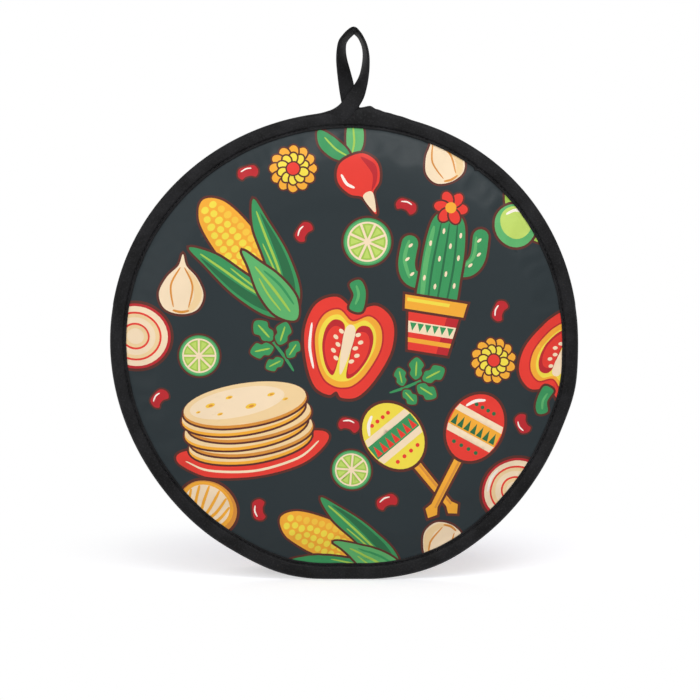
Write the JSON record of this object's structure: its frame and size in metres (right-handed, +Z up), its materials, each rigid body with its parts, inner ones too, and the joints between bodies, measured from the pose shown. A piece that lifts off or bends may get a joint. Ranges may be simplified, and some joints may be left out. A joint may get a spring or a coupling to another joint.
{
  "type": "tortilla warmer",
  "caption": "Round padded cloth pouch for keeping tortillas warm: printed covers, wadding and linings in a bias-tape binding, with a rear flap at the mouth and a hanging loop.",
  "frame": {"origin": "on the surface that the pouch stands on, under the middle of its width and depth", "axes": "+Z up towards the hanging loop, the printed front faces -Y, +X to the right as seen from the front"},
  "size_m": [0.299, 0.024, 0.3543],
  "materials": {
    "printed_polyester": "woven polyester with a satin calendered face, printed",
    "polyester_wadding": "needled polyester wadding",
    "lining_polyester": "plain woven polyester lining",
    "bias_tape": "folded bias-cut polyester-cotton tape"
  },
  "bodies": {
    "pouch": {"rim_binding": "bias_tape", "front_cover": "printed_polyester", "front_wadding": "polyester_wadding", "front_lining": "lining_polyester", "rear_cover": "printed_polyester", "rear_wadding": "polyester_wadding", "rear_lining": "lining_polyester"},
    "flap": {"mouth_binding": "bias_tape", "flap_cover": "printed_polyester", "flap_wadding": "polyester_wadding", "flap_lining": "lining_polyester"},
    "loop": {"hanging_loop": "bias_tape"}
  },
  "joints": [
    {"name": "flap_fold", "type": "hinge", "parent": "pouch", "child": "flap", "pos_m": [0, 0.012, 0.17666], "axis": [-1, 0, 0], "range_deg": [0, 60]},
    {"name": "loop_flop", "type": "hinge", "parent": "pouch", "child": "loop", "pos_m": [0.00375, -0.002, 0.3013], "axis": [1, 0, 0], "range_deg": [-80, 80]}
  ]
}
